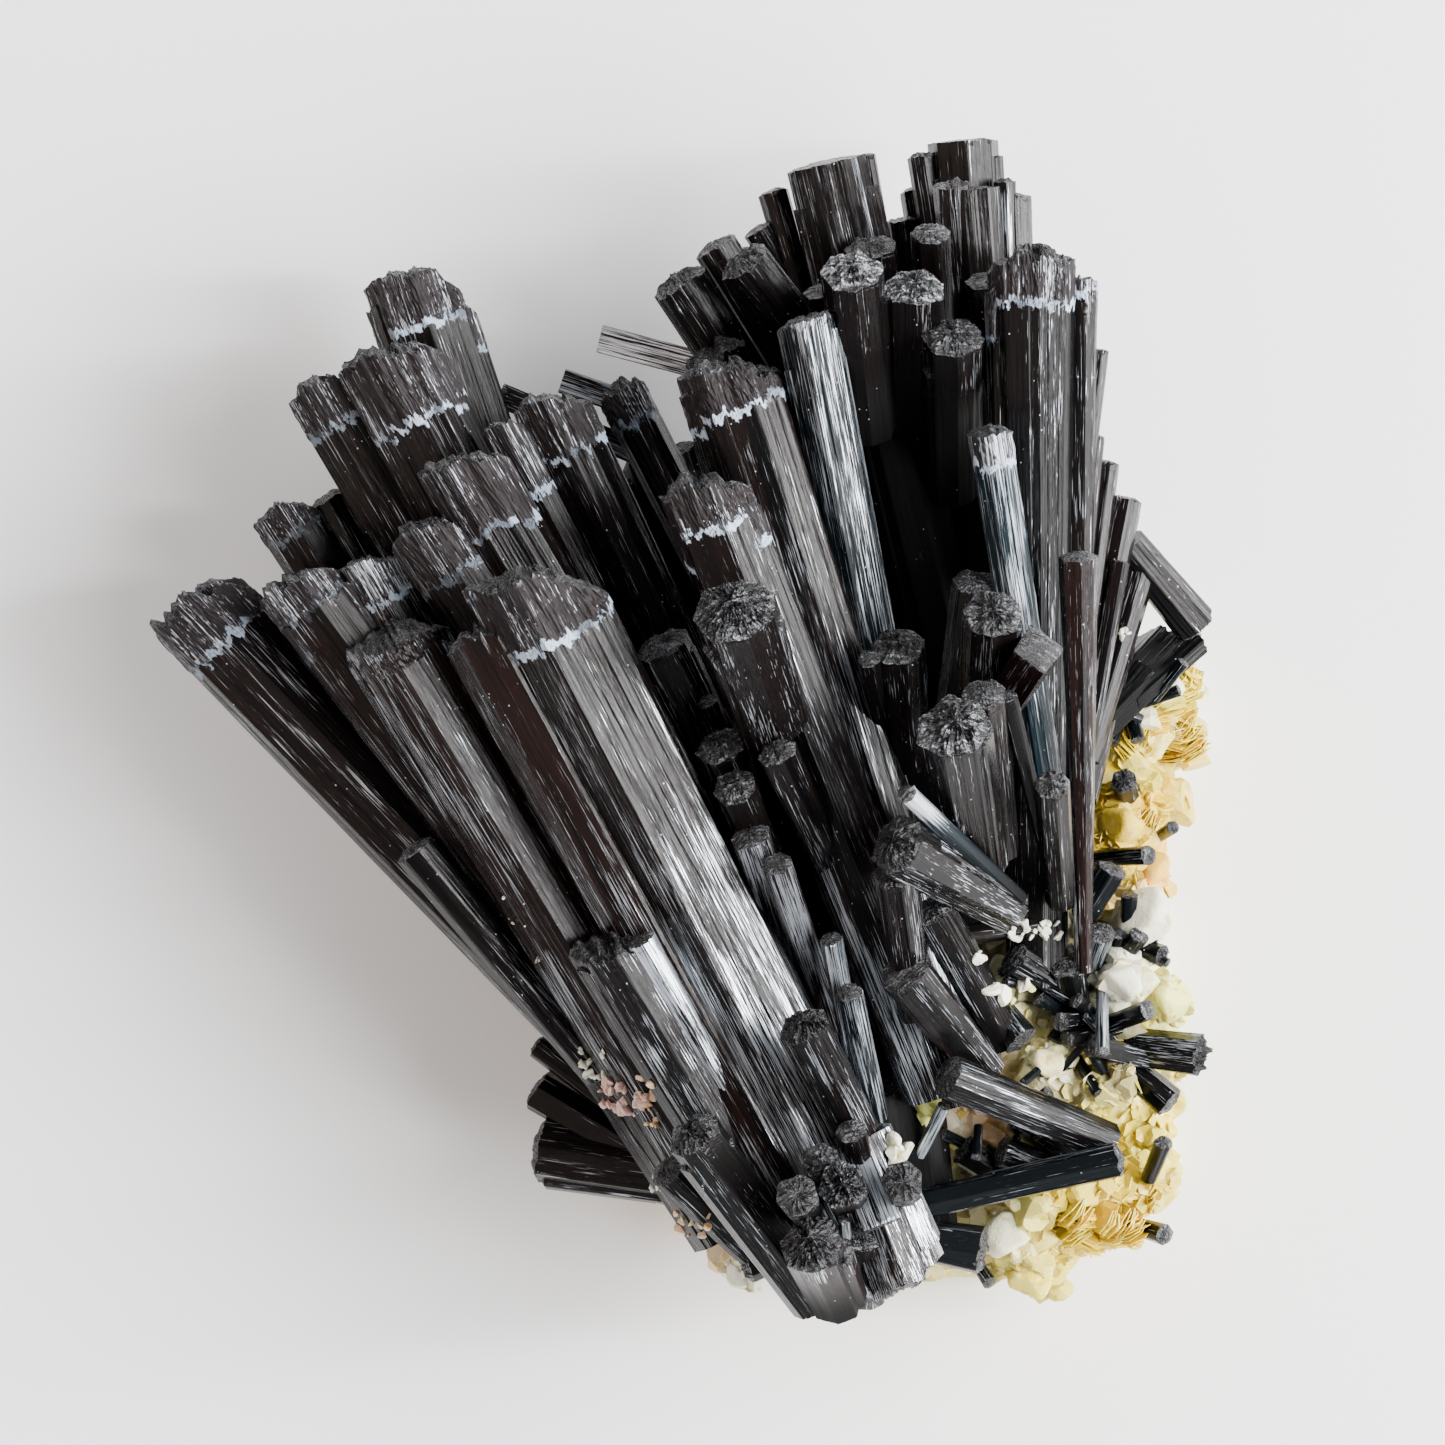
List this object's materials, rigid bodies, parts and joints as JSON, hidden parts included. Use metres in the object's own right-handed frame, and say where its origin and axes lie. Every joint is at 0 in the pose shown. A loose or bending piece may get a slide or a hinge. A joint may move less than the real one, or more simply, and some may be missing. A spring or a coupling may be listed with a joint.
{
  "type": "schorl crystal cluster",
  "caption": "Fan of black striated schorl prisms grown from a cream feldspar and golden mica matrix, lying on its flat back with its display side up.",
  "frame": {"origin": "bottom centre of the bounding box, on the plane that the specimen rests on", "axes": "+X the specimen's right and +Y its top as displayed, +Z out of its display side, away from the flat back"},
  "size_m": [0.0631, 0.0699, 0.0337],
  "materials": {
    "schorl": "vitreous, striated lengthwise",
    "feldspar": "dull to pearly, broken grains",
    "mica": "pearly, flaky"
  },
  "bodies": {
    "root": {"schorl_spray": "schorl", "matrix": "feldspar", "golden_mica_edge": "mica", "golden_mica_foot": "mica", "stray_crystal_01": "schorl", "stray_crystal_02": "schorl", "stray_crystal_03": "schorl", "stray_crystal_04": "schorl", "stray_crystal_05": "schorl", "stray_crystal_06": "schorl", "stray_crystal_07": "schorl", "stray_crystal_08": "schorl", "stray_crystal_09": "schorl", "stray_crystal_10": "schorl", "stray_crystal_11": "schorl"}
  },
  "joints": []
}
